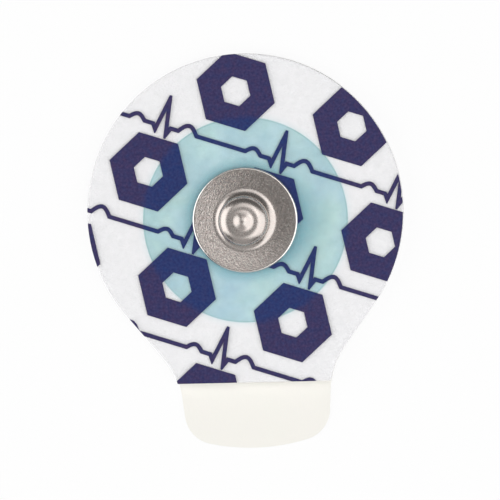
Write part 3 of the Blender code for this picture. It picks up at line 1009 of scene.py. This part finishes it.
@dataclass
class SnapStud(Part):
    """Stud pressed from sheet: dished flange, flared foot, neck, bulb, flat land and centre pip."""

    finish: Finish = field(default_factory=StudMetal)
    flange_radius: float = 4.0 * MM
    sheet: float = 0.28 * MM
    head_radius: float = 1.91 * MM
    neck_radius: float = 1.72 * MM
    neck_height: float = 1.05 * MM
    foot_radius: float = 2.42 * MM
    foot_height: float = 0.60 * MM
    land_radius: float = 1.02 * MM
    pip_radius: float = 0.92 * MM
    pip_height: float = 0.20 * MM
    dish: float = 0.13 * MM
    spacing: float = 0.05 * MM
    pip_points: int = 24
    turn_points: int = 28
    sides: int = 200

    def build(self) -> list[Piece]:
        """Turn the pressed profile, outside and inside, about the stud's axis."""
        low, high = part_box("snap_stud")
        return [self.carry(turned_surface("pressed_stud", self.profile(low.z, high.z), self.sides), "snap_stud")]

    def profile(self, base: float, top: float) -> Array:
        """The pressed sheet's profile from the pip, over the head, out to the rim and back inside.

        The pip falls from its top by half a cosine wave, the shoulder is a quarter of an ellipse
        from the land to the widest part of the head, and the foot is a hollow quarter of one from
        the neck to the flange.

        Args:
            base: Height of the flange's underside.
            top: Height of the pip.

        Returns:
            Points of (radius, height).
        """
        land = top - self.pip_height
        neck_top = base + self.neck_height
        cavity_top = land - self.sheet
        bore, cavity = self.neck_radius - self.sheet, self.head_radius - self.sheet
        edge = self.sheet / 2.0
        widest = (neck_top + land) / 2.0
        out = np.linspace(0.0, self.pip_radius, self.pip_points)
        wave = 0.5 + 0.5 * np.cos(math.pi * out / self.pip_radius)
        pip = np.stack([out, land + self.pip_height * wave], axis=1)
        turn = np.linspace(0.0, math.pi / 2.0, self.turn_points)
        width, fall = self.head_radius - self.land_radius, land - widest
        shoulder = np.stack([self.land_radius + width * np.sin(turn), widest + fall * np.cos(turn)], axis=1)
        flange_top = base + self.sheet - self.dish
        flare, drop = self.foot_radius - self.neck_radius, self.foot_height
        hollow = self.foot_radius - flare * np.cos(turn), flange_top + drop * (1.0 - np.sin(turn))
        foot = np.stack(hollow, axis=1)
        neck = [
            (self.head_radius, widest, 0.0),
            (self.head_radius, (neck_top + 2.0 * widest) / 3.0, self.sheet),
            (self.neck_radius, neck_top, self.sheet),
            (self.neck_radius, flange_top + drop, 0.0),
        ]
        corners = [
            (self.foot_radius, flange_top, 0.0),
            (self.flange_radius, base + self.sheet, edge),
            (self.flange_radius, base, edge),
            (bore, base, edge),
            (bore, neck_top, self.sheet),
            (cavity, (neck_top + cavity_top) / 2.0, self.sheet),
            (cavity, cavity_top, self.sheet),
            (0.0, cavity_top, 0.0),
        ]
        rest = [rounded_profile(neck, self.spacing)[1:-1], foot, rounded_profile(corners, self.spacing)[1:]]
        return np.concatenate([pip, shoulder, *rest])


@dataclass
class CarriedNodes(Part):
    """Parts whose CAD shape is shown as it is, in a finish of their own."""

    prefix: str = ""

    def build(self) -> list[Piece]:
        """Dress every node whose name starts with the prefix."""
        return [self.carry(node) for name, node in sorted(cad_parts.items()) if name.startswith(self.prefix)]


# The studio


def standing(place: Vector, away: Vector, side: Vector) -> Matrix:
    """The pose of a lamp or camera at a place, with the way back from what it sees and its own right."""
    turned = Matrix((side, away.cross(side), away)).transposed()
    return Matrix.Translation(place) @ turned.to_4x4()


@dataclass(frozen=True)
class Softbox:
    """A square lamp that stands off the electrode in a direction, in degrees, and faces it."""

    name: str
    heading: float
    off_zenith: float
    width: float
    height: float
    radiance: float
    distance: float = 0.5

    def build(self, right: Vector, up: Vector) -> None:
        """Place the lamp, whose power is its radiance times its area times pi.

        Args:
            right: The picture's right, in the floor's plane.
            up: The picture's top, in the floor's plane.
        """
        light = bpy.data.lights.new(self.name, "AREA")
        light.shape = "RECTANGLE"
        light.size, light.size_y = self.width, self.height
        light.energy = self.radiance * math.pi * self.width * self.height
        heading, tilt = math.radians(self.heading), math.radians(self.off_zenith)
        level = right * math.cos(heading) + up * math.sin(heading)
        towards = level * math.sin(tilt) + ZENITH * math.cos(tilt)
        side = right * -math.sin(heading) + up * math.cos(heading)
        lamp = bpy.data.objects.new(self.name, light)
        lamp.matrix_world = standing(towards * self.distance, towards, side)
        bpy.context.scene.collection.objects.link(lamp)


@dataclass
class Studio:
    """Pale floor, plain surroundings, soft lamps and the camera of the picture."""

    roll: float = math.radians(3.3)
    lean_right: float = math.radians(4.6)
    lean_up: float = math.radians(2.4)
    distance: float = 0.40
    frame_width: float = 37.9 * MM
    target: Triple = (0.228 * MM, -2.297 * MM, 1.1 * MM)
    sensor: float = 36.0
    near_clip: float = 0.01
    far_clip: float = 10.0
    floor_radius: float = 1.5
    floor_drop: float = 0.03 * MM
    floor_sides: int = 128
    floor_tone: Triple = (0.88, 0.88, 0.88)
    floor_share: float = 0.90
    contact_reach: float = 2.0 * MM
    surroundings: float = 0.15
    lamps: tuple[Softbox, ...] = (
        Softbox("left_softbox", 180.0, 57.0, 0.60, 0.50, 1.95),
        Softbox("right_softbox", -13.0, 44.0, 0.64, 0.72, 1.59),
        Softbox("back_softbox", 80.0, 20.0, 0.30, 0.26, 1.00),
        Softbox("front_softbox", -95.0, 52.0, 0.46, 0.60, 0.36),
        Softbox("ceiling", 0.0, 0.0, 1.08, 1.08, 0.12, distance=0.9),
        Softbox("light_table", 0.0, 180.0, 0.40, 0.40, 3.0),
    )

    def build(self) -> None:
        """Set the scene round the electrode."""
        self.floor()
        self.world()
        right = Vector((math.cos(self.roll), -math.sin(self.roll), 0.0))
        up = Vector((math.sin(self.roll), math.cos(self.roll), 0.0))
        for lamp in self.lamps:
            lamp.build(right, up)
        self.camera(right, up)
        bpy.context.scene.view_settings.view_transform = "Standard"

    def floor(self) -> None:
        """A wide round floor just under the electrode, white to the camera and seen from above only."""
        angles = np.linspace(0.0, math.tau, self.floor_sides, endpoint=False)
        ring = np.stack([np.cos(angles), np.sin(angles), np.zeros_like(angles)], axis=1) * self.floor_radius
        points = np.concatenate([ring, [[0.0, 0.0, 0.0]]]) - (0.0, 0.0, self.floor_drop)
        column = np.arange(self.floor_sides)
        caps = np.stack([column, (column + 1) % self.floor_sides, np.full_like(column, self.floor_sides)], axis=1)
        made = Surface(points, np.empty((0, 4), int), caps).piece("floor")
        made.data.materials.append(self.floor_paint())

    def floor_paint(self) -> bpy.types.Material:
        """Pale paint, mostly plain white to the camera and to mirrored rays.

        It is clear from below, to shadow rays and to the diffuse rays that start right above it, so
        that the light table reaches the underside and the narrow gap doesn't glow.

        Returns:
            The new material.
        """
        made = bpy.data.materials.new("pale_floor")
        made.use_nodes = True
        made.node_tree.nodes.clear()
        board = Board(made.node_tree)
        path = board.add("ShaderNodeLightPath").outputs
        seen = board.maths("MAXIMUM", path["Is Camera Ray"], path["Is Glossy Ray"])
        seen = board.maths("MAXIMUM", seen, path["Is Transmission Ray"])
        paint = board.add("ShaderNodeBsdfDiffuse", {"Color": self.floor_tone}).outputs[0]
        white = board.add("ShaderNodeEmission", {"Strength": 1.0}).outputs[0]
        share = board.weaken(seen, self.floor_share)
        lit = board.add("ShaderNodeMixShader", {0: share, 1: paint, 2: white}).outputs[0]
        clear = board.add("ShaderNodeBsdfTransparent").outputs[0]
        below = board.add("ShaderNodeNewGeometry").outputs["Backfacing"]
        close = board.maths("LESS_THAN", path["Ray Length"], self.contact_reach)
        through = board.maths("MULTIPLY", path["Is Diffuse Ray"], close)
        through = board.maths("MAXIMUM", path["Is Shadow Ray"], through)
        through = board.maths("MAXIMUM", below, through)
        whole = board.add("ShaderNodeMixShader", {0: through, 1: lit, 2: clear}).outputs[0]
        board.add("ShaderNodeOutputMaterial", {"Surface": whole})
        return made

    def world(self) -> None:
        """Plain grey surroundings."""
        world = bpy.data.worlds.new("surroundings")
        world.use_nodes = True
        feeds = {"Color": (1.0, 1.0, 1.0), "Strength": self.surroundings}
        Board(world.node_tree).feed(world.node_tree.nodes["Background"], feeds)
        bpy.context.scene.world = world

    def camera(self, right: Vector, up: Vector) -> None:
        """Stand the camera off the stud at the picture's lean and aim it at the frame's middle.

        Args:
            right: The picture's right, in the floor's plane.
            up: The picture's top, in the floor's plane.
        """
        lean = right * math.tan(self.lean_right) + up * math.tan(self.lean_up) + ZENITH
        place, target = lean * self.distance, Vector(self.target)
        away = (place - target).normalized()
        data = bpy.data.cameras.new("camera")
        data.sensor_width = self.sensor
        data.lens = self.sensor * (place - target).length / self.frame_width
        data.clip_start, data.clip_end = self.near_clip, self.far_clip
        made = bpy.data.objects.new("camera", data)
        made.matrix_world = standing(place, away, up.cross(away).normalized())
        bpy.context.scene.collection.objects.link(made)
        bpy.context.scene.camera = made


def main() -> None:
    """Build the electrode from the skin upwards, then the studio."""
    logging.basicConfig(level=logging.INFO, format="%(name)s: %(message)s")
    parts: list[Part] = [
        FoamPad(),
        GelDisc(),
        CarriedNodes(CoatedPlastic(), "sensor_eyelet"),
        CarriedNodes(FilmSheet(), "printed_film"),
        CarriedNodes(NavyInk(), "print_"),
        CarriedNodes(CreamStrip(), "pull_tab"),
        SnapStud(),
    ]
    for part in parts:
        for piece in part.build():
            log.info("%s: %d faces in %s", piece.name, len(piece.data.polygons), part.finish.name)
    Studio().build()


if __name__ == "__main__":
    main()
